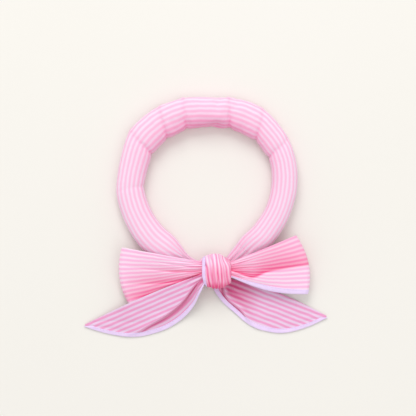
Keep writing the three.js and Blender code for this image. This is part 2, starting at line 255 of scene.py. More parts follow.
def yarnDyedStripe(name, pink, pale, paintedShadeColour):
    # Light woven cotton with yarn-dyed stripes: soft stripe edges where threads mix, a matt surface with a
    # faint fuzz at grazing angles, and painted shade: a deeper pink mixed in by a per-point value, in folds,
    # under other pieces and on sides turned from the light
    material, tree = emptyMaterial(name)
    uv = addNode(tree, "UVMap", {"uv_map": "flatCloth"})
    flat = addNode(tree, "SeparateXYZ", links={0: uv.outputs[0]})
    drift = unevenness(tree, Scale=70, Detail=2)[0]
    wobble = addNode(tree, "Math", {"operation": "MULTIPLY_ADD"}, {1: clothFinish["stripeDrift"]},
                     {0: drift, 2: flat.outputs["Y"]})
    wave = sineAcross(tree, wobble.outputs[0], clothFinish["stripePeriod"])
    stripe = addNode(tree, "MapRange", {"interpolation_type": "SMOOTHSTEP"},
                     {"From Min": -1.0, "From Max": 0.95}, {"Value": wave})
    base = mix(tree, stripe.outputs[0], pale, pink)
    # Slubs: uneven thread drawn out along the stripes
    stretched = addNode(tree, "Mapping", inputs={"Scale": (6, 90, 1)}, links={0: uv.outputs[0]})
    slub = addNode(tree, "TexNoise", inputs={"Scale": 1, "Detail": 3}, links={"Vector": stretched.outputs[0]})
    uneven = addNode(tree, "MapRange", inputs={"From Min": 0.3, "From Max": 0.7, "To Min": 0, "To Max": 0.2},
                     links={"Value": slub.outputs[0]})
    worn = mix(tree, uneven.outputs[0], base, pink)
    fold = addNode(tree, "Attribute", {"attribute_name": "paintedShade"})
    # Painted shade, read from each point: the pink stripes deepen first, then the pale ones
    stripeShadeShare = addNode(tree, "Math", {"operation": "MULTIPLY_ADD", "use_clamp": True}, {1: 0.25, 2: 0.75},
                        {0: stripe.outputs[0]})
    paintedShadeAmount = addNode(tree, "Math", {"operation": "MULTIPLY", "use_clamp": True},
                         links={0: stripeShadeShare.outputs[0], 1: fold.outputs["Fac"]})
    colour = mix(tree, paintedShadeAmount.outputs[0], worn, paintedShadeColour)
    weave = clothWeave(tree, flat, clothFinish["threadSpacing"])
    height = addNode(tree, "Math", {"operation": "MULTIPLY_ADD"}, {1: 0.5},
                     {0: weave.outputs[0], 2: stripe.outputs[0]})
    clothShader(tree, colour, height.outputs[0], clothFinish["cottonRelief"])
    return material


def wovenBinding(name, colour, patchAndShadeColour):
    # Plain bias binding: pale lilac cotton, pressed flat, its diagonal threads just visible, and a darker
    # lilac mixed in both as uneven patches and as painted shade
    material, tree = emptyMaterial(name)
    uv = addNode(tree, "UVMap", {"uv_map": "flatCloth"})
    slanted = addNode(tree, "Mapping", inputs={"Rotation": (0, 0, math.radians(45))},
                      links={0: uv.outputs[0]})
    flat = addNode(tree, "SeparateXYZ", links={0: slanted.outputs[0]})
    fold = addNode(tree, "Attribute", {"attribute_name": "paintedShade"})
    cloud = unevenness(tree, Scale=120, Detail=3)[0]
    patch = addNode(tree, "MapRange", inputs={"From Min": 0.35, "From Max": 0.7, "To Max": 0.3},
                    links={"Value": cloud})
    share = addNode(tree, "Math", {"operation": "ADD", "use_clamp": True},
                    links={0: patch.outputs[0], 1: fold.outputs["Fac"]})
    mixed = mix(tree, share.outputs[0], colour, patchAndShadeColour)
    weave = clothWeave(tree, flat, clothFinish["threadSpacing"] * 0.8)
    clothShader(tree, mixed, weave.outputs[0], clothFinish["bindingRelief"])
    return material


def sewingThread(name, colour):
    # Spun polyester thread: a slight lustre, with the twist as fine slanting ridges
    material, tree = emptyMaterial(name)
    twist = unevenness(tree, "TexWave", {"bands_direction": "DIAGONAL"}, Scale=900)["Fac"]
    shade = mix(tree, twist, colour, "#cdb6dc")
    bump = addNode(tree, "Bump", inputs={"Strength": 0.4, "Distance": 0.05 * mm}, links={"Height": twist})
    shader = addNode(tree, "BsdfPrincipled", inputs={"Roughness": 0.45, "IOR": 1.53, "Sheen Weight": 0.1},
                     links={"Base Color": shade, "Normal": bump.outputs[0]})
    showSurface(tree, shader)
    return material


def carded(name, colour):
    # Carded polyester wadding: loose off-white fibres in clumps
    material, tree = emptyMaterial(name)
    fibre = unevenness(tree, Scale=400, Detail=6, Distortion=2)[0]
    clothShader(tree, mix(tree, fibre, colour, "#d9d4c8"), fibre, clothFinish["waddingRelief"])
    return material


# Each piece's striped cotton: pink, pale, then the colour its painted shade deepens to. The binding: its
# lilac, then the darker lilac of its uneven patches and its painted shade
bandCotton = yarnDyedStripe("bandStripedCotton", "#f9bddb", "#f3dcef", "#ee7fb0")
loopCotton = yarnDyedStripe("loopStripedCotton", "#ffbce2", "#fee3f5", "#f53d83")
# the tails' set is darker and greyer than the loops': painted shade for cloth turned from the light
tailCottonShaded = yarnDyedStripe("tailStripedCottonShaded", "#ed9bc8", "#e9d2ea", "#cf3f7c")
knotCotton = yarnDyedStripe("knotStripedCotton", "#fab6dc", "#fbe2f2", "#ee4688")
lilacBinding = wovenBinding("lilacBiasBinding", "#f3dbff", "#dcc0f0")
lilacThread = sewingThread("lilacThread", "#faf0ff")
wadding = carded("polyesterWadding", "#f0ece2")
print("materials made")


def stitchRow(name, path, up, length=2.4, gap=1.5, radius=0.22):
    # Running stitches along a path of points in mm, each a thread that dips in at both ends
    steps = np.linalg.norm(np.diff(path, axis=0), axis=1)
    measure = np.concatenate([[0], np.cumsum(steps)])
    count = int(measure[-1] // (length + gap))
    rings, sides = 6, 6
    points, faces = [], []
    for k in range(count):
        at = (k + 0.3) * (length + gap) + np.linspace(0, length, rings)
        line = readAlong(at, measure, path)
        lift = readAlong(at, measure, up)
        lift /= np.linalg.norm(lift, axis=1, keepdims=True)
        arch = np.sin(np.linspace(0, math.pi, rings))
        line = line + lift * (arch * 0.3 - 0.05)[:, None]
        ahead = np.gradient(line, axis=0)
        ahead /= np.linalg.norm(ahead, axis=1, keepdims=True)
        beside = np.cross(ahead, lift)
        first = len(points)
        for j in range(rings):
            thick = radius * (0.55 + 0.45 * arch[j])
            for i in range(sides):
                a = 2 * math.pi * i / sides
                points.append(line[j] + thick * (beside[j] * math.cos(a) + lift[j] * math.sin(a)))
        for j in range(rings - 1):
            for i in range(sides):
                n = (i + 1) % sides
                faces.append([first + j * sides + i, first + j * sides + n,
                              first + (j + 1) * sides + n, first + (j + 1) * sides + i])
        faces.append([first + i for i in range(sides)][::-1])
        faces.append([first + (rings - 1) * sides + i for i in range(sides)])
    mesh = bpy.data.meshes.new(name)
    mesh.from_pydata((np.array(points) * mm).tolist(), [], faces)
    mesh.polygons.foreach_set("use_smooth", [True] * len(faces))
    obj = bpy.data.objects.new(name, mesh)
    scene.collection.objects.link(obj)
    obj.data.materials.append(lilacThread)
    return obj


def finishPiece(obj, material, slot, *nodes):
    obj.data.materials.append(material)
    if nodes:
        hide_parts(*nodes)
    return obj


# The padded band: a sewn tube, stuffed and bent into a ring, so that it creases on the inside
band = {
    "ringCentre": (-9.75, 109.5), "ringRadius": 100, "tubeWidth": 37, "tubeHeight": 24, "neckHeight": 8.7,
    "squareness": 2.4,
    "underKnot": [(0, 1, 24), (15.9, 6, 21), (31, 18, 28), (46, 33.5, 33)],
    "ring": [(-40, -6, -4), (-20, -5, -5), (0, -2, -4), (20, 2, -4), (40, 4, 0), (60, 3, 4), (80, -1, 3),
             (100, 0, 3), (120, 2, 5), (140, 5, 5), (160, 4, 1), (180, 3, -1), (200, 0, 0), (220, -1, 2)],
    "toKnot": [(-62, 27, 38), (-39, 13.5, 30), (-15.9, 5.5, 22)],
    "neckStart": 15.3, "clothStart": 13.6, "endSeam": 46.35, "taperEnd": 77.4,
    "leftGather": [(13, 4), (28, 8), (42, 8), (60, 3), (80, 0), (700, 0)],  # mm drawn in on the inner side
    # angle round the ring at the outer edge and at the inner edge, and how hard it creases
    "creases": [(32.1, 25.6, 0.9), (55.4, 45.3, 1.0), (76.6, 72.4, 1.0), (106.7, 110.5, 0.9),
                (122.3, 129, 1.0), (144, 150.4, 1.0), (182, 180, 0.3)],
    "creaseReach": (4.5, 3.5),  # mm either side, at the outer and the inner edge
    "creaseDepth": (0.3, 1.7, 2.4),  # mm at the outer edge, over the top, and at the inner edge
    "straightness": 0.64,  # of the stretches between creases: 0 keeps the ring's curve, 1 makes them straight
    "rowSpacing": 2.5, "columns": 48, "girth": 105,
    "cornersIn": 0.4,  # how far the corners between them come in, as a share of what the middles go out
    "crown": (92, 62),  # where on the ring the tube puffs most and its inside has most painted shade, and how far that reaches, in degrees
    "pressure": 3.0, "spareCloth": 0.03, "simFrames": 16, "mostMove": 3.5,
    "endsHeld": 60, "sidesHeld": 0.85,  # mm past each end seam, and the share held on the ring's sides
    "gatherRun": (32, 88),  # mm from the knot
    "relief": (0.75, 0.35, 0.3),  # mm, of the gathers, the puckers and the soft unevenness
    "ply": 0.7, "wallOverWadding": 1.6,
    # sections, in mm: across and up for the long seam, along and out for the end seams
    "seamSection": [(-3, 0.55), (-2.4, 0.2), (-0.4, 0.15), (0, 0.4), (0.4, 0.15), (2.4, 0.2), (3, 0.55),
                    (2, 0.9), (0, 0.95), (-2, 0.9)],
    "rollSection": [(-1.1, 0.05), (-0.6, 0.35), (0, 0.45), (0.6, 0.35), (1.1, 0.05), (0, -0.5)],
}


def closedCurve(points, share):
    n = len(points)
    p = share * n
    i = np.floor(p).astype(int) % n
    w = (p - np.floor(p))[:, None]
    a, b, c, d = points[(i - 1) % n], points[i], points[(i + 1) % n], points[(i + 2) % n]
    return b + 0.5 * w * (c - a + w * (2 * a - 5 * b + 4 * c - d + w * (3 * (b - c) + d - a)))


def ringTable():
    cx, cy = band["ringCentre"]
    onRing = [(cx + (band["ringRadius"] + out) * math.cos(math.radians(angle)),
               cy + (band["ringRadius"] + out) * math.sin(math.radians(angle)),
               band["tubeWidth"] + wider) for angle, out, wider in band["ring"]]
    stations = np.array(band["underKnot"] + onRing + band["toKnot"], float)
    fine = closedCurve(stations, np.linspace(0, 1, 6001)[:-1])
    fine = np.concatenate([fine, fine[:1]])
    measure = np.concatenate([[0], np.cumsum(np.linalg.norm(np.diff(fine[:, :2], axis=0), axis=1))])
    tangent = np.gradient(fine[:, :2], axis=0)
    tangent /= np.linalg.norm(tangent, axis=1, keepdims=True)
    angle = np.degrees(np.unwrap(np.arctan2(fine[:, 1] - cy, fine[:, 0] - cx)))
    return measure, fine, tangent, angle


ringMeasure, ringFine, ringTangent, ringAngle = ringTable()
ringLength = ringMeasure[-1]


def evenTurns(columns, squareness, width, height):
    # angles round an oval section that space its columns evenly, from the middle of its underside
    angle = np.linspace(-math.pi / 2, 1.5 * math.pi, 2001)
    x = width / 2 * signedPower(np.cos(angle), 2 / squareness)
    y = height / 2 * signedPower(np.sin(angle), 2 / squareness)
    measure = np.concatenate([[0], np.cumsum(np.hypot(np.diff(x), np.diff(y)))])
    return np.interp(np.linspace(0, measure[-1], columns + 1)[:-1], measure, angle)


def tubeGrid(distances, angles, creased=True):
    s = np.asarray(distances) % ringLength
    centre = readAlong(s, ringMeasure, ringFine[:, :2])[:, None]
    along = readAlong(s, ringMeasure, ringTangent)[:, None]
    width = np.interp(s, ringMeasure, ringFine[:, 2])[:, None]
    fromKnot = np.minimum(s, ringLength - s)[:, None]
    taper = smoothStep(fromKnot, band["neckStart"], band["taperEnd"])
    height = lerp(band["neckHeight"], band["tubeHeight"], taper)
    turn = angles[None]
    power = 2 / band["squareness"]
    inward = signedPower(np.cos(turn), power)
    up = signedPower(np.sin(turn), power)
    pinch, puff, straighten = np.zeros((3, len(s), len(angles)))
    if creased:
        innerShare = (1 + np.cos(turn)) / 2
        outerDepth, topDepth, innerDepth = band["creaseDepth"]
        depth = outerDepth * (1 - innerShare) + innerDepth * innerShare ** 2
        depth = depth + topDepth * np.maximum(np.sin(turn), 0)
        places = []
        for outer, inner, strength in band["creases"]:
            ringPlace = np.interp(lerp(outer, inner, innerShare), ringAngle, ringMeasure)
            places.append(ringPlace)
            away = np.abs(s[:, None] - ringPlace) / lerp(*band["creaseReach"], innerShare)
            pinch += strength * depth * np.exp(-away ** 1.15)
            puff = np.maximum(puff, strength * np.exp(-away))
        # Between two creases the stuffed tube stays straight, so the ring is many-sided
        pieces = len(places) - 1
        for k in range(pieces):
            share = np.clip((s[:, None] - places[k]) / (places[k + 1] - places[k]), 0, 1)
            stretch = math.radians((sum(band["creases"][k + 1][:2]) - sum(band["creases"][k][:2])) / 2)
            radius = band["ringRadius"] + width / 2 * (1 - 2 * innerShare)
            sag = radius * (1 - math.cos(stretch / 2)) * band["straightness"]
            inside = ((share > 0) & (share < 1)).astype(float)
            corners = 1 - np.maximum((1 - share) ** 2 * (k == 0), share ** 2 * (k == pieces - 1))
            straighten += inside * sag * ((1 - (2 * share - 1) ** 2) - band["cornersIn"] * corners)
    gathered = through(band["leftGather"], ringLength - s)[:, None] * np.maximum(inward, 0) if creased else 0
    across = width / 2 * inward - pinch * np.cos(turn) + straighten - gathered
    rise = height / 2 * (1 + up) - pinch * np.maximum(np.sin(turn), 0)
    x = centre[..., 0] - along[..., 1] * across
    y = centre[..., 1] + along[..., 0] * across
    return np.stack([x, y, rise], 2), puff


def inflate(obj, held, c):
    # A cloth run with air pressure and a little spare cloth, so that the tube puffs between its creases
    group = obj.vertex_groups.new(name="held")
    for level in range(1, 11):
        chosen = np.flatnonzero(np.round(held * 10) == level)
        group.add(chosen.tolist(), level / 10, "REPLACE")
    cloth = obj.modifiers.new("air", "CLOTH")
    cloth.settings.quality = 5
    cloth.settings.mass = 0.2
    cloth.settings.tension_stiffness = 12
    cloth.settings.compression_stiffness = 8
    cloth.settings.shear_stiffness = 4
    cloth.settings.bending_stiffness = 0.15
    cloth.settings.use_pressure = True
    cloth.settings.uniform_pressure_force = c["pressure"]
    cloth.settings.shrink_min = -c["spareCloth"]
    cloth.settings.vertex_group_mass = "held"
    cloth.settings.effector_weights.gravity = 0
    cloth.collision_settings.use_collision = False
    for step in range(1, c["simFrames"] + 1):
        scene.frame_set(step)
    evaluated = obj.evaluated_get(bpy.context.evaluated_depsgraph_get())
    before, after = np.zeros((2, len(obj.data.vertices) * 3))
    obj.data.vertices.foreach_get("co", before)
    evaluated.data.vertices.foreach_get("co", after)
    obj.modifiers.remove(cloth)
    obj.vertex_groups.remove(group)
    scene.frame_set(1)
    before, move = before.reshape(-1, 3), (after - before).reshape(-1, 3)
    far = np.linalg.norm(move, axis=1, keepdims=True)
    move *= np.minimum(1, c["mostMove"] * mm / np.maximum(far, 1e-9))
    return (before + move) / mm


def makeBand():
    c = band
    angles = evenTurns(c["columns"], c["squareness"], c["tubeWidth"], c["tubeHeight"])
    rows = int((ringLength - 2 * c["clothStart"]) / c["rowSpacing"])
    distances = np.linspace(c["clothStart"], ringLength - c["clothStart"], rows)
    points, puff = tubeGrid(distances, angles)
    fromKnot = np.minimum(distances, ringLength - distances)[:, None]
    crownAt, crownReach = c["crown"]
    crown = bell(np.interp(distances, ringMeasure, ringAngle)[:, None] - crownAt, crownReach)
    bare = np.stack([*np.meshgrid(np.linspace(0, 1, len(angles) + 1), distances)], 2)
    trial = gridMesh("tubeTrial", points, bare)
    ends = 1 - smoothStep(fromKnot, c["endSeam"], c["endSeam"] + c["endsHeld"])
    ends = np.maximum(ends, c["sidesHeld"] * (1 - crown))
    held = np.clip(np.maximum(ends, np.minimum(puff ** 3 * 1.1, 0.9)), 0, 1)
    held = np.maximum(held, bell(angles[None] + math.pi / 2, 0.35))  # the side on the table stays
    points = inflate(trial, held.ravel(), c).reshape(points.shape)
    bpy.data.objects.remove(trial)
    print("band inflated")
    # Gathers run in from the neck, and short puckers run out of each crease
    turnShare = np.linspace(0, 1, len(angles) + 1)[:-1][None]
    gather = 1 - smoothStep(fromKnot, *c["gatherRun"])
    lines = turnShare * 2 * math.pi
    folds = np.sin(11 * lines + 1.5 * ripple(lines, fromKnot / 30, 3)) + 0.5 * np.sin(17 * lines + 2)
    puckers = np.sin(23 * lines + 3 * ripple(lines, distances[:, None] / 20, 7)) * puff
    soft = ripple(lines * 1.5, distances[:, None] / 14, 11)
    gatherHeight, puckerHeight, softHeight = c["relief"]
    relief = gatherHeight * gather * folds + puckerHeight * puckers + softHeight * soft * (1 - gather)
    normal = tubeNormals(points)
    points = points + normal * relief[..., None]
    seamDip = bell(fromKnot - c["endSeam"], 1.6) * 0.3
    points = points - normal * seamDip[..., None]
    points[..., 2] = np.maximum(points[..., 2], 0.75 + 0.25 * np.sin(np.pi * turnShare))
    flatAcross = np.concatenate([turnShare[0], [1]]) * c["girth"] + 2.4
    flat = asGrid(distances[:, None], flatAcross[None])
    # Painted shade: darker on the tube's inner side, most over the crown, where that side turns from the
    # light; in the creases; and between the gathers by the knot
    inner = np.maximum(np.cos(angles), 0)[None]
    towardsInside = smoothStep(np.cos(angles), -0.5, 1)[None]
    betweenFolds = 0.5 - 0.5 * signedPower(folds, 0.5)
    shade = 0.1 * inner ** 2 + 0.75 * crown * towardsInside
    shade = shade + 0.6 * puff ** 3 * (0.5 + 0.5 * inner) + 0.3 * gather * betweenFolds
    inside = np.searchsorted(distances, c["endSeam"])
    sleeves = [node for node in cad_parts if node.startswith("cover_sleeve")]
    spans = {"band_cover": (inside, rows - inside), "tie_neck_right": (0, inside + 1),
             "tie_neck_left": (rows - inside - 1, rows)}
    for name, (first, last) in spans.items():
        obj = gridMesh(name + "_cloth", points[first:last], flat[first:last],
                       shade=shade[first:last])
        thicken(obj, c["ply"])
        stoodFor = sleeves if name == "band_cover" else [name]
        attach(finishPiece(obj, bandCotton, "striped_cotton", *stoodFor), "root")
    # Wadding fills the cover
    sparse = (slice(inside, rows - inside, 2), slice(None, None, 2))
    core = points[sparse] - normal[sparse] * c["wallOverWadding"]
    core[..., 2] = np.maximum(core[..., 2], 2.0)
    obj = gridMesh("wadding_core", core, flat[sparse], capped=True)
    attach(finishPiece(obj, wadding, "wadding", "band_padding"), "root")
    # The tube's long seam, closed by hand along its underside, and the two end seams into the ties
    under = points[inside:rows - inside, 0]
    side = np.cross(np.gradient(under, axis=0), (0, 0, 1))
    side /= np.linalg.norm(side, axis=1, keepdims=True)
    section = c["seamSection"]
    strip = np.stack([under * (1, 1, 0) + side * a + np.array((0, 0, z)) for a, z in section], 1)
    seamFlat = asGrid(distances[inside:rows - inside, None], np.linspace(0, 12, len(section) + 1)[None])
    seam = gridMesh("cover_seam_allowance", strip, seamFlat, capped=True)
    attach(finishPiece(seam, bandCotton, "striped_cotton", "cover_seam"), "root")
    for name, row in (("right", inside), ("left", rows - inside - 1)):
        ring, out = points[row], normal[row]
        roll = c["rollSection"]
        ahead = np.append(readAlong(distances[row:row + 1], ringMeasure, ringTangent), 0)
        tape = np.stack([ring + out * o + ahead * a for a, o in roll], 0)
        tape[..., 2] = np.maximum(tape[..., 2], 0.1)
        tapeFlat = asGrid(np.linspace(0, 5, len(roll) + 1)[:, None], flatAcross[None])
        # a little painted shade over each seam roll
        obj = gridMesh(f"end_seam_{name}_roll", tape, tapeFlat, closedRows=True, shade=0.15)
        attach(finishPiece(obj, bandCotton, "striped_cotton", f"end_seam_{name}"), "root")


makeBand()
print("band made")


# The knot: a half knot on the table, the gathered waist of the bow above it, and the wrap round that
knot = {
    "length": 37.8, "width": 45, "height": 21.6, "centreZ": 20.1, "barrelTaper": 0.3, "squareness": 2.4,
    "wrapThickness": 2.2, "pleats": 5.6, "pleatDepth": 1.9,
    "bindingFrom": 0.6,
    "bindingSection": [(0, -0.1), (-0.1, 0.5), (0.35, 1.0), (2.2, 1.2), (3.9, 1.0), (4.3, 0.55), (4.3, 0.0),
                       (2.2, -0.1)],  # across and out, in mm
    "tonguePivot": (7, -15), "tongueRoom": 9.4,  # where the right tail swings, clear of the half knot
    "halfKnot": {"reach": 15, "width": 24, "height": 8, "top": 8.7, "rows": 27},
    "tuckedEnd": {"from": (-12.5, 15.8, 16), "to": (-26, 9.5, 15), "half": (0.9, 4.6, 2.7)},
}


def knotSurface(x, angle, inset):
    k = knot
    barrel = 1 - k["barrelTaper"] * np.abs(2 * x / k["length"]) ** 3
    power = 2 / k["squareness"]
    y = (k["width"] / 2 * barrel - inset) * signedPower(np.cos(angle), power)
    z = k["centreZ"] + (k["height"] / 2 * barrel - inset) * signedPower(np.sin(angle), power)
    return y, z


def wrapPleat(share, angle):
    # Rounded pleats with sharp valleys between them; they slant over the front of the knot
    drift = share * knot["pleats"] + 0.5 * np.cos(angle) + 0.5 * ripple(share * 5, angle, 21)
    return np.abs(np.sin(math.pi * drift)) ** 0.6


def leanOfKnot(x, y):
    # The upper right of the wrap is drawn in by the loop behind it, and the lower left a little
    right = 1 - 0.4 * smoothStep(y, 4, 22) - 0.16 * smoothStep(-y, 12, 23)
    left = 1 - 0.16 * smoothStep(-y, 4, 22)
    return np.where(x > 0, x * right, x * left)


def makeKnot():
    k = knot
    half = k["halfKnot"]
    angles = evenTurns(56, 2.2, half["width"], half["height"])
    distances = np.linspace(-half["reach"], half["reach"], half["rows"])
    lumpPoints, _ = tubeGrid(distances, angles, creased=False)
    turns = np.linspace(0, 2 * math.pi, len(angles) + 1)
    folds = np.sin(9 * turns[:-1] + 0.8)[None] * 0.45
    lumpPoints -= tubeNormals(lumpPoints) * folds[..., None]
    middles = lumpPoints.mean(axis=1, keepdims=True)
    out = np.abs(distances)[:, None, None]
    drawnIn = 1 - 0.13 * smoothStep(out, 11.5, 13.5)  # its ends lie inside the ties
    lumpPoints = middles + (lumpPoints - middles) * drawnIn
    away = lumpPoints[..., :2] - np.array(k["tonguePivot"])
    reach = np.linalg.norm(away, axis=2, keepdims=True)
    lumpPoints[..., :2] += away / reach * np.maximum(k["tongueRoom"] - reach, 0)
    lumpPoints[..., 2] = np.clip(lumpPoints[..., 2], 0, half["top"])
    flat = asGrid(distances[:, None] + half["reach"], turns[None] * 14)
    # painted shade all over the half knot, which lies under the bow
    lump = gridMesh("half_knot_cloth", lumpPoints, flat, capped=True, shade=0.3)
    thicken(lump)
    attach(finishPiece(lump, knotCotton, "bow_cotton", "half_knot"), "root")

    # Gathered waist, seen in the open ends of the wrap
    angle = roundTurns(96)[None]
    x = np.linspace(-1, 1, 31)[:, None] * (k["length"] / 2 + 0.1)
    y, z = knotSurface(x, angle, k["wrapThickness"] + 0.6)
    crumple = 0.9 * (np.abs(np.sin(6.5 * angle + 0.7 * np.sin(x / 5))) ** 0.6 - 1)
    toMiddle = np.hypot(y, z - k["centreZ"])
    y = y * (1 + crumple / toMiddle)
    z = k["centreZ"] + (z - k["centreZ"]) * (1 + crumple / toMiddle)
    points = asGrid(x, y, z)
    first, last = (end * (1, 0.5, 0.5) + (0, 1, k["centreZ"] * 0.5) for end in (points[:1], points[-1:]))
    points = np.concatenate([first, points, last])
    flat = asGrid(np.linspace(0, 42, len(points))[:, None], np.linspace(0, 210, 97)[None])
    # painted shade all over the waist, deep inside the wrap
    waist = gridMesh("bow_waist_gathers", points, flat, capped=True, shade=0.55)
    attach(finishPiece(waist, knotCotton, "bow_cotton", "bow_waist"), "root")

    # Wrap: once round, its two edges turned in
    across = np.linspace(-1, 1, 61)
    edge = np.linspace(0, math.pi, 7)[1:-1]
    half = k["length"] / 2
    roll = k["wrapThickness"] / 2
    xs = np.concatenate([across * (half - roll), half - roll + roll * np.sin(edge),
                         -across[::2] * (half - roll), roll - half - roll * np.sin(edge)])
    insets = np.concatenate([np.zeros(61), roll - roll * np.cos(edge),
                             np.full(31, 2 * roll), roll + roll * np.cos(edge)])
    angle = roundTurns(180)[:, None]
    share = xs[None] / k["length"]
    ridge = wrapPleat(share, angle)
    outerShare = (1 - insets / (2 * roll))[None]
    inset = insets[None] + outerShare * k["pleatDepth"] * (1 - ridge)
    inset = inset - 0.5 * outerShare * (1 - (2 * share) ** 2)
    y, z = knotSurface(xs[None], angle, inset)
    lean = leanOfKnot(np.broadcast_to(xs[None], y.shape), y)
    points = np.stack([lean, y, z], 2)
    flatX = np.concatenate([xs, xs[:1]])[None] * 1.35 + 30
    closedAngle = np.linspace(0, 2 * math.pi, 181)[:, None]
    flatX = flatX + 2.0 * ripple(flatX / 7, np.sin(closedAngle), 5) + 4 * np.cos(closedAngle)
    flat = asGrid(np.linspace(0, 118, 181)[:, None], flatX)
    # Painted shade: deeper pink in the pleat valleys, on the lower side, which turns from the light, and
    # towards the wrap's two ends
    valley = outerShare * (1 - ridge) ** 1.2
    lower = 0.45 * smoothStep(-y, -14, 6) + 0.6 * smoothStep(-y, 12, 22)
    shade = np.clip(0.6 * valley + lower + 0.15 * smoothStep(np.abs(share), 0.36, 0.5), 0, 1)
    wrap = gridMesh("knot_wrap_cloth", points, flat, closedRows=True, shade=shade)
    thicken(wrap)
    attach(finishPiece(wrap, knotCotton, "bow_cotton", "knot_wrap"), "root")

    # Lilac binding down the wrap's left edge, with its row of stitches
    angle = np.linspace(-0.55, math.pi + 0.25, 91)[:, None]
    section = np.array(k["bindingSection"])
    x = -half + k["bindingFrom"] - 0.4 + section[None, :, 0]
    y, z = knotSurface(x, angle, -section[None, :, 1] + 0.35 * np.abs(np.sin(6 * angle)) ** 2)
    points = np.stack([leanOfKnot(np.broadcast_to(x, y.shape), y), y, z], 2)
    flat = asGrid(np.linspace(0, 75, 91)[:, None], np.linspace(0, 13, len(section) + 1)[None])
    # a little painted shade all over the binding
    binding = gridMesh("knot_binding_tape", points, flat, capped=True, shade=0.1)
    thicken(binding)
    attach(finishPiece(binding, lilacBinding, "lilac_binding", "knot_binding"), "root")
    line = angle[4:-4]
    x = np.full_like(line, -half + k["bindingFrom"] + 2.9)
    y, z = knotSurface(x, line, -1.05)
    path = np.concatenate([leanOfKnot(x, y), y, z], 1)
    up = path - np.array([0, 0, k["centreZ"]])
    stitches = stitchRow("knot_binding_stitches", path, up * (0.15, 1, 1))
    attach(stitches, "root")

    # The tucked end of the wrap, a small lobe that shows at its upper left
    s = np.linspace(0, 1, 19)[:, None]
    turn = roundTurns(32)[None]
    size = np.sin(math.pi * (0.08 + 0.92 * s) ** 0.8) ** 0.6
    size = np.maximum(size, 0.06)
    start, end = k["tuckedEnd"]["from"], k["tuckedEnd"]["to"]
    middle = np.stack([lerp(start[i], end[i], s[:, 0]) for i in range(3)], 1)[:, None]
    depth, long, tall = k["tuckedEnd"]["half"]
    crease = 1 - 0.22 * np.abs(np.sin(1.5 * turn + 0.4)) ** 3
    lobe = middle + asGrid(depth * np.cos(turn) * size, long * size * np.cos(turn) * crease,
                           tall * size * np.sin(turn) * crease)
    flat = asGrid(s * 14, np.linspace(0, 28, 33)[None])
    # painted shade, fading from its start to its end
    tuck = gridMesh("wrap_tucked_end", lobe, flat, capped=True, shade=0.35 * (1 - s))
    thicken(tuck)
    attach(finishPiece(tuck, knotCotton, "bow_cotton"), "root")


makeKnot()
print("knot made")


# Loops of the bow. Shares: u runs from the knot to the far fold, v from the lower edge to the upper one,
# and the hairpin s runs out along the front ply and home along the back one.
loops = {
    "left": {
        "side": -1, "length": 98.4, "endWidth": 80, "tilt": 6.1, "endTilt": 8, "rootY": 2, "hemBow": 2,
        "low": [(0, 19), (0.3, 12.5), (0.55, 7.5), (1, 6.5)],
        "high": [(0, 19), (0.3, 24.5), (0.5, 28), (0.8, 27.5), (1, 22)],
        # each pleat's valley line, half width, how far its painted shade climbs, depth, and the painted shade
        # along u
        "pleats": [
            ([(0, 0.43), (0.58, 0.62), (1, 0.72)], 0.035, 0.1, 2.0,
             [(0, 0.8), (0.35, 0.7), (0.6, 0.3), (1, 0)]),
            ([(0, 0.27), (0.15, 0.2), (0.73, 0.36), (1, 0.42)], 0.05, 0.17, 2.6,
             [(0, 1), (0.2, 1), (0.5, 0.9), (0.8, 0.45), (1, 0.05)]),
            ([(0, 0.12), (0.32, 0.15), (0.64, 0.13), (1, 0.16)], 0.08, 0.17, 2.4,
             [(0, 0.9), (0.2, 0.9), (0.4, 1), (0.7, 1), (1, 0.45)]),
            ([(0, 0.66), (0.5, 0.8), (1, 0.86)], 0.035, 0.04, 1.0, [(0, 0.6), (0.3, 0.2), (0.6, 0), (1, 0)]),
            ([(0, 0.85), (0.5, 0.93), (1, 0.95)], 0.03, 0.03, 0.8,
             [(0, 0.5), (0.25, 0.12), (0.5, 0), (1, 0)]),
        ],
    },
    "right": {
        "side": 1, "length": 92, "endWidth": 78.3, "tilt": 4, "endTilt": 11.5, "rootY": 2, "hemBow": 7,
        "low": [(0, 20.1), (0.3, 15), (0.6, 12), (1, 11)],
        "high": [(0, 20.1), (0.3, 26.5), (0.6, 28), (0.8, 26.5), (1, 22)],
        "pleats": [
            ([(0, 0.45), (0.26, 0.28), (0.46, 0.44), (0.73, 0.5), (1, 0.51)], 0.04, 0.36, 2.6,
             [(0, 1), (0.3, 1), (0.5, 0.95), (0.75, 0.85), (1, 0.65)]),
            ([(0, 0.62), (0.21, 0.6), (0.6, 0.66), (1, 0.69)], 0.04, 0.12, 1.6,
             [(0, 0.9), (0.3, 0.55), (0.6, 0.35), (1, 0.1)]),
            ([(0, 0.8), (0.4, 0.83), (1, 0.86)], 0.035, 0.06, 1.1,
             [(0, 0.7), (0.35, 0.3), (0.7, 0.1), (1, 0)]),
            ([(0, 0.2), (0.3, 0.12), (0.6, 0.13), (1, 0.18)], 0.04, 0.06, 1.2,
             [(0, 0.8), (0.2, 0.35), (0.5, 0.1), (1, 0)]),
        ],
    },
}
loopCloth = {
    "rootX": 19.35, "tuckedIn": 5.5, "rootWidth": 20, "rootHalfGap": 0.8, "fold": 8, "bulge": 9, "ply": 1.0,
    "bindingWidth": 5.6, "bindingHeight": 0.72,
    "frontPly": 0.42,  # share of the hairpin on each ply, the rest being the fold
    "slack": 2.04,  # cut length as a share of the loop's length
    "leafShare": 0.66,  # of the rectangle, because the cloth narrows to its root
    "bendFrom": 3, "bendTo": 17,  # mm inside and outside the root
}


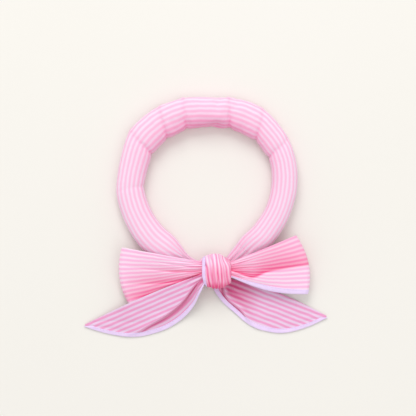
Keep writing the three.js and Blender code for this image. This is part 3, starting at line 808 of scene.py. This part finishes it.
def loopPlace(p, u, v):
    side, c = p["side"], loopCloth
    lean, endLean = math.radians(p["tilt"]), math.radians(p["endTilt"])
    inside = np.minimum(u, 0) * p["length"]  # the root runs on into the knot
    out = np.maximum(u, 0)
    rootXs, rootYs = side * (c["rootX"] + inside), p["rootY"] + (v - 0.5) * (c["rootWidth"] + inside * 0.5)
    reach = side * (p["length"] + c["bulge"] * (1 - (2 * v - 1) ** 2) * out)
    acrossEnd = (v - 0.5) * p["endWidth"]
    endXs = side * c["rootX"] + reach * math.cos(lean) - acrossEnd * math.sin(endLean)
    endYs = p["rootY"] + reach * math.sin(lean) + acrossEnd * math.cos(endLean)
    bow = p["hemBow"] * np.sin(math.pi * np.clip(out, 0, 1)) * np.clip(1 - v, 0, 1) ** 1.5
    return lerp(rootXs, endXs, out), lerp(rootYs, endYs, out) - bow


def bindEdge(kind, side, tube, along, path):
    # Binding folded over an edge, so a flattened tube round it, and the stitches that hold it
    flat = asGrid(along, np.linspace(0, 13, 15)[None])
    binding = gridMesh(f"{kind}_{side}_binding", tube, flat, capped=True)
    thicken(binding)
    finishPiece(binding, lilacBinding, "lilac_binding", f"{kind}_binding_{side}")
    stitches = stitchRow(f"{kind}_{side}_stitches", path, np.tile((0.0, 0.0, 1.0), (len(path), 1)))
    return binding, stitches


def loopEdge(p, s):  # the loop's width, and its binding's, which narrows towards the knot
    out = 1 - np.abs(2 * s - 1)
    width = lerp(loopCloth["rootWidth"], p["endWidth"], out)
    return width, loopCloth["bindingWidth"] * lerp(0.5, 1, smoothStep(out, 0.0, 0.4))


def halfGap(u):  # half the distance between the plies
    c = loopCloth
    return lerp(c["rootHalfGap"], (c["fold"] - c["ply"]) / 2, smoothStep(u, 0.1, 0.9))


def loopSheet(p, s, v, raised=0.0):
    c = loopCloth
    foldStart = 1 - c["fold"] / 2 / p["length"]
    outward = c["frontPly"]
    tucked = c["tuckedIn"] / p["length"]
    onPly = np.minimum(s, 1 - s) / outward
    u = np.where(onPly < 1, lerp(-tucked, foldStart, np.minimum(onPly, 1)), 0)
    turn = math.pi * np.clip((s - outward) / (1 - 2 * outward), 0, 1)
    middle = halfGap(foldStart)
    u = np.where(onPly < 1, u, foldStart + (middle + raised) * np.sin(turn) / p["length"])
    ply = np.where(s < 0.5, 1, -1)
    lift = np.where(onPly < 1, ply * (halfGap(u) + raised), (middle + raised) * np.cos(turn))
    x, y = loopPlace(p, u, v)
    # Puffy pleats between the valleys, fading towards the fold
    height = lerp(3.8, 1.6, smoothStep(u, 0, 0.8))
    valleys, shade = np.zeros((2, *np.broadcast(u, v).shape))
    for line, width, reach, depth, colour in p["pleats"]:
        lineV = through(line, np.clip(u, 0, 1))
        fade = lerp(1, 0.3, smoothStep(u, 0.3, 1.0))
        wide = width * lerp(1.5, 0.75, smoothStep(u, 0, 0.6))
        above = v - lineV  # a fold rises slowly on its upper side and sharply on its lower one
        slope = np.where(above > 0, np.exp(-np.maximum(above, 0) / reach), bell(above, wide))
        valleys = np.maximum(valleys, depth / 2.6 * slope * fade)
        # Painted shade on the upper side of each fold, which turns from the light
        shade = np.maximum(shade, through(colour, np.clip(u, 0, 1)) * slope)
    gathers = 0.5 * np.sin(v * 46 + 2 * np.sin(u * 5 + v * 7)) * (1 - smoothStep(u, 0.05, 0.55))
    sway = 0.5 * np.sin(v * 7 + u * 4) * smoothStep(u, 0.3, 1)
    front = np.where(s < 0.5, 1, 0.35)
    relief = height * (1 - valleys) - 0.8 + (gathers + sway) * front
    rim = np.sqrt(np.clip(1 - np.abs(2 * v - 1) ** 6, 0, 1))
    z = lerp(through(p["low"], np.clip(u, 0, 1)), through(p["high"], np.clip(u, 0, 1)), v) + lift
    z = z + relief * rim * np.where(s < 0.5, 1, 0.55)
    # Painted shade on the gathers where the loop runs into the knot
    rootShade = 0.45 * (1 - smoothStep(u, 0, 0.22)) * (0.6 + 0.4 * np.sin(v * 46 + 1))
    return asGrid(x, y, z), np.maximum(shade, rootShade)


def makeLoop(name):
    p, c = loops[name], loopCloth
    rows, cols = 150, 96
    s = np.linspace(0, 1, rows)[:, None]
    share = np.linspace(0, 1, cols)[None]
    width, drawn = loopEdge(p, s)
    v = lerp(drawn * 0.9 / width, 1, share)
    points, shade = loopSheet(p, s, v)
    along = s * 2 * p["length"] * 1.03
    flat = asGrid(along, v * p["endWidth"] + 3)
    cloth = gridMesh(f"loop_{name}_cloth", points, flat, closedCols=False, shade=shade)
    thicken(cloth, c["ply"] - 0.2)
    finishPiece(cloth, loopCotton, "bow_cotton", f"loop_{name}")
    turn = roundTurns(14)[None]
    vs = drawn / width * (0.5 + 0.5 * signedPower(np.cos(turn), 0.5))
    tube, _ = loopSheet(p, s, vs, raised=c["bindingHeight"] * signedPower(np.sin(turn), 0.5))
    line = np.linspace(0.02, 0.4, 120)[:, None]  # stitches show on the front ply
    width, drawn = loopEdge(p, line)
    path = loopSheet(p, line, 0.84 * drawn / width, raised=c["bindingHeight"])[0][:, 0]
    binding, stitches = bindEdge("loop", name, tube, along, path)
    for piece in (cloth, binding, stitches):
        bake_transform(piece)


for loopName in loops:
    makeLoop(loopName)
print("loops made")


# Tails. Shares: q runs from the knot to the tip, v from the fold along the upper edge to the bound free edge.
tails = {
    "left": {
        "side": -1, "start": (-19.35, -4), "length": 168, "tilt": 23.6, "foldBow": 3.5,
        "rootSlant": 8.8, "rootRun": 0.045, "gather": 8,
        "fold": [(0, 23.6), (0.2, 17.5), (0.4, 14), (0.62, 12.8), (0.8, 5), (1, 1.2)],
        "free": [(0, 23.6), (0.12, 12), (0.25, 4), (0.4, 1.2), (1, 1.2)],
        "crease": [(0, 0.25), (0.05, 0.33), (0.2, 0.57), (0.52, 0.74), (0.66, 0.88), (0.8, 1.02), (1, 1.2)],
        "creaseFade": [(0, 1), (0.5, 1), (0.66, 0.5), (0.78, 0), (1, 0)],
    },
    "right": {
        "side": 1, "start": (13, -9.2), "length": 141.4, "tilt": 21, "foldBow": 6,
        "rootSlant": -10.8, "rootRun": 0, "gather": 0,
        "fold": [(0, 3), (0.3, 3.4), (0.6, 2.4), (1, 1.2)],
        "free": [(0, 3), (0.2, 1.8), (0.4, 1.2), (1, 1.2)],
        "crease": [(0, 0.35), (0.03, 0.5), (0.1, 0.76), (0.23, 0.81), (0.3, 0.87), (0.45, 1.0), (1, 1.3)],
        "creaseFade": [(0, 1), (0.25, 1), (0.42, 0.2), (0.5, 0), (1, 0)],
    },
}
tailCloth = {
    "width": 48, "ply": 1.0, "bindingWidth": 5.6, "widestBinding": 0.55,  # share of the tail's width
    "leaf": [(0, 0.41), (0.1, 0.655), (0.2, 0.81), (0.3, 0.93), (0.42, 0.99), (0.55, 0.95), (0.65, 0.87),
             (0.75, 0.71), (0.88, 0.4), (1, 0.03)],
}


def tailWidth(q):
    return tailCloth["width"] * through(tailCloth["leaf"], q)


def bindingShareAt(q):
    return np.minimum(tailCloth["bindingWidth"] / tailWidth(np.maximum(q, 0)), tailCloth["widestBinding"])


def tailSheet(p, q, v, raised=0.0):
    lean = math.radians(p["tilt"])
    out = np.clip(q, 0, 1)
    # Before the root the cloth narrows and runs on into the knot
    drawnIn = 1 + np.minimum(q, 0) * p["gather"]
    across = lerp(-4 * p["foldBow"] * out * (1 - out), tailWidth(out), v) * drawnIn
    along = q * p["length"] + v * p["rootSlant"] * (1 - smoothStep(out, 0, 0.25))
    x = p["start"][0] + p["side"] * (along * math.cos(lean) - across * math.sin(lean))
    y = p["start"][1] - along * math.sin(lean) - across * math.cos(lean)
    crease, fade = through(p["crease"], out), through(p["creaseFade"], out)
    mmAway = (v - crease) * tailWidth(out)
    ridge = np.where(mmAway < 0, np.exp(np.minimum(mmAway, 0) / 7), bell(mmAway, 1.5))
    lift = fade * 3.0 * ridge * smoothStep(out, 0.0, 0.1)
    waves = 0.55 * np.sin(v * 9 + q * 12) * smoothStep(out, 0.15, 0.4)
    waves = waves * np.sin(math.pi * np.clip(v, 0, 1)) ** 0.5
    gathers = 0.55 * np.sin(v * 30 + 2 * np.sin(q * 25)) * (1 - smoothStep(out, 0.03, 0.3))
    z = lerp(through(p["fold"], out), through(p["free"], out), v) + np.maximum(lift, -0.4)
    z = z + np.abs(waves) + np.maximum(gathers, -0.3) + raised
    # Painted shade just past the crease, under the cloth folded over it
    shade = fade * (0.95 * bell(mmAway - 2.2, 2.2) + 0.25 * bell(mmAway - 6, 6))
    shade = shade * lerp(1, 0.6, smoothStep(out, 0.1, 0.6))
    return asGrid(x, y, z), shade, mmAway, fade


def makeTail(name):
    p, c = tails[name], tailCloth
    rows, cols = 130, 64
    q = np.linspace(-p["rootRun"], 0.988, rows)[:, None]
    width = tailWidth(np.maximum(q, 0))
    share = np.linspace(0, 1, cols)[None]
    v = share * (1 - bindingShareAt(q) * 0.85)
    points, shade, mmAway, fade = tailSheet(p, q, v)
    # Past the crease the cloth turns, and its stripes run with the bound edge instead of with the fold
    turned = fade * smoothStep(mmAway, -1.0, 1.0)
    withFold = v * width - 4 * p["foldBow"] * np.maximum(q, 0) * (1 - q) * (1 - v)
    stripes = lerp(withFold, 60 - (1 - v) * width, turned)
    flat = asGrid(q * p["length"], stripes)
    # Painted shade at the root: among the left tail's gathers, and on the right tail the shadow of the loop
    # over it
    if name == "left":
        rootShade = 0.55 * (1 - smoothStep(q, 0, 0.16)) * (0.6 + 0.4 * np.sin(v * 30))
    else:
        rootShade = (1 - smoothStep(q, 0.1, 0.42)) * (0.85 + 0.15 * np.sin(v * 26 + 1))
        rootShade = rootShade * smoothStep(-mmAway, 1, 7)
    shade = np.maximum(shade, rootShade)
    cloth = gridMesh(f"tail_{name}_cloth", points, flat, closedCols=False, shade=shade)
    thicken(cloth, c["ply"] - 0.2)
    finishPiece(cloth, tailCottonShaded, "bow_cotton", f"tail_{name}")
    q = np.linspace(-p["rootRun"], 1, rows)[:, None]
    turn = roundTurns(14)[None]
    vs = 1 - bindingShareAt(q) * (0.5 - 0.5 * signedPower(np.cos(turn), 0.5))
    tube = tailSheet(p, q, vs, raised=0.75 * signedPower(np.sin(turn), 0.5))[0]
    tube[..., 2] = np.maximum(tube[..., 2], 0.05)
    line = np.linspace(0.03, 0.93, 240)[:, None]
    path = tailSheet(p, line, 1 - 0.84 * bindingShareAt(line), raised=0.78)[0][:, 0]
    binding, stitches = bindEdge("tail", name, tube, q * p["length"], path)
    for piece in (cloth, binding, stitches):
        if name == "left":
            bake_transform(piece)
        else:
            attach(piece, "right_tail")


for tailName in tails:
    makeTail(tailName)
print("tails made")


# Floor and light: a pale table under a broad soft light from beyond the crown, with open shade all round
stage = {
    "floorColour": "#efece6", "floorGrain": "#edeae3", "worldColour": "#ffffff", "worldStrength": 0.72,
    "key": {"place": (-0.5, 2.6, 2.5), "size": 2.0, "power": 57},
    "fill": {"place": (0.8, -0.6, 2.6), "size": 2.0, "power": 9.5},
}


def makeStage():
    mesh = bpy.data.meshes.new("tableTop")
    mesh.from_pydata([(-6, -6, 0), (6, -6, 0), (6, 6, 0), (-6, 6, 0)], [], [(0, 1, 2, 3)])
    floor = bpy.data.objects.new("tableTop", mesh)
    floor.location.z = -0.0004
    scene.collection.objects.link(floor)
    material, tree = emptyMaterial("mattLacqueredBoard")  # matt lacquer: even, no reflections to see
    grain = addNode(tree, "TexNoise", inputs={"Scale": 30, "Detail": 2})
    tone = mix(tree, grain.outputs[0], stage["floorColour"], stage["floorGrain"])
    shader = addNode(tree, "BsdfPrincipled", inputs={"Roughness": 0.9, "Specular IOR Level": 0.2},
                     links={"Base Color": tone})
    showSurface(tree, shader)
    mesh.materials.append(material)
    for name in ("key", "fill"):
        light = bpy.data.lights.new(name + "Light", "AREA")
        light.size, light.energy = stage[name]["size"], stage[name]["power"]
        lamp = bpy.data.objects.new(name + "Light", light)
        lamp.location = stage[name]["place"]
        lamp.rotation_euler = (Vector((0, 0.07, 0)) - lamp.location).to_track_quat("-Z", "Y").to_euler()
        scene.collection.objects.link(lamp)
    world = bpy.data.worlds.new("openShade")
    world.use_nodes = True
    background = world.node_tree.nodes["Background"]
    background.inputs[0].default_value = linear(stage["worldColour"])
    background.inputs[1].default_value = stage["worldStrength"]
    scene.world = world
    scene.view_settings.view_transform = "Standard"


makeStage()
print("stage made")
